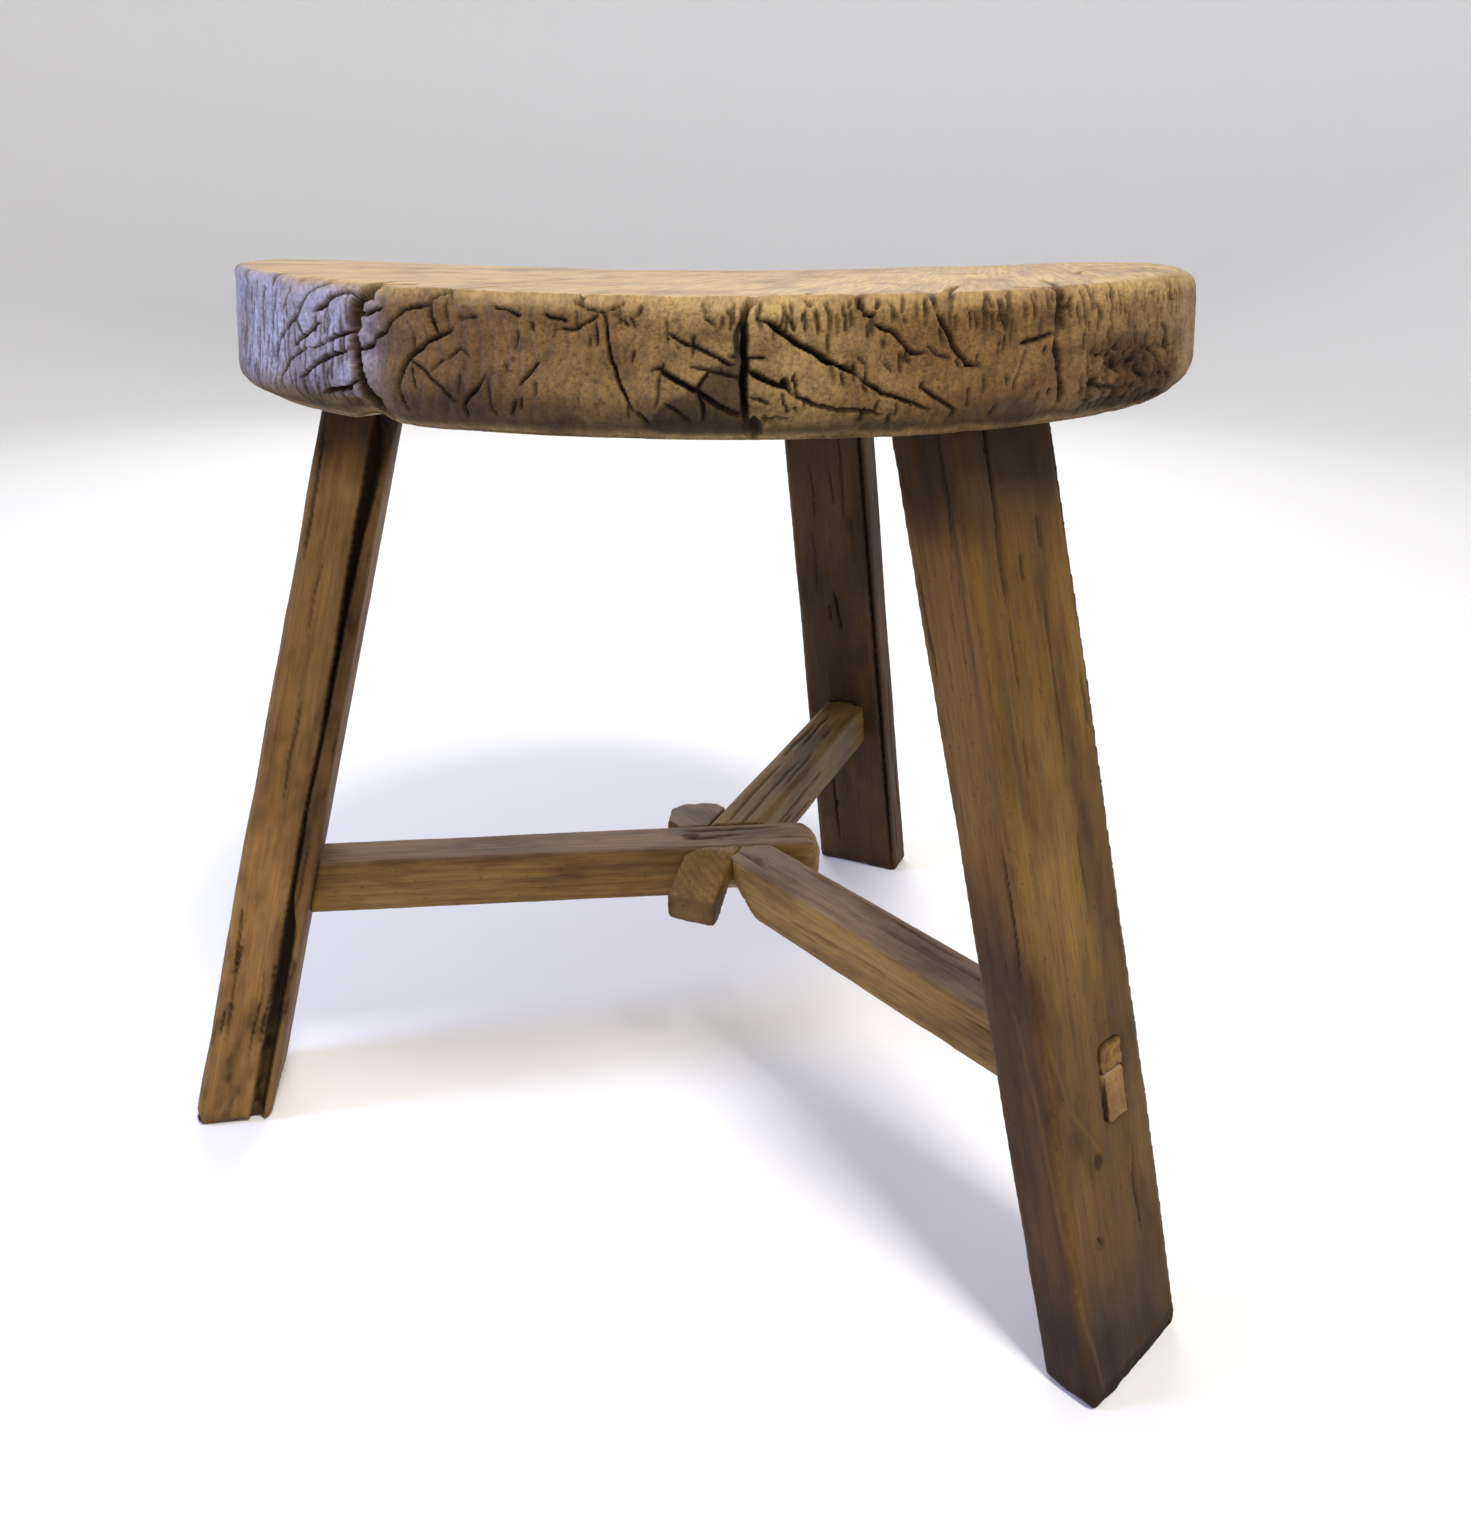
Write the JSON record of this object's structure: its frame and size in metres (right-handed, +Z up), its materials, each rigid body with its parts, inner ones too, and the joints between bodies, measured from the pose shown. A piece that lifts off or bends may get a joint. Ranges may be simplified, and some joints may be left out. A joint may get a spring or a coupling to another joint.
{
  "type": "milking stool",
  "caption": "Low three-legged wooden stool with a thick round dished seat, splayed board legs and crossed stretchers lapped at a central hub and wedged through the legs.",
  "frame": {"origin": "centre of the whole stool's footprint (the centre of its bounding box), on the floor; the seat's axis stands at x = 0.0376, y = -0.0134", "axes": "+Z up; -Y towards the side the stool is shown from, with the front leg at the right of it; +X to the right, away from the left leg"},
  "size_m": [0.425, 0.4342, 0.3685],
  "materials": {
    "seat_wood": "weathered, waxed, with deep drying cracks",
    "leg_wood": "hand-hewn, worn satin",
    "stretcher_wood": "hand-hewn, worn satin",
    "wedge_wood": "end grain, dry"
  },
  "bodies": {
    "root": {"seat": "seat_wood", "left_leg": "leg_wood", "left_stretcher": "stretcher_wood", "left_stretcher_wedge": "wedge_wood", "front_leg": "leg_wood", "front_stretcher": "stretcher_wood", "front_stretcher_wedge": "wedge_wood", "back_leg": "leg_wood", "back_stretcher": "stretcher_wood", "back_stretcher_wedge": "wedge_wood"}
  },
  "joints": []
}
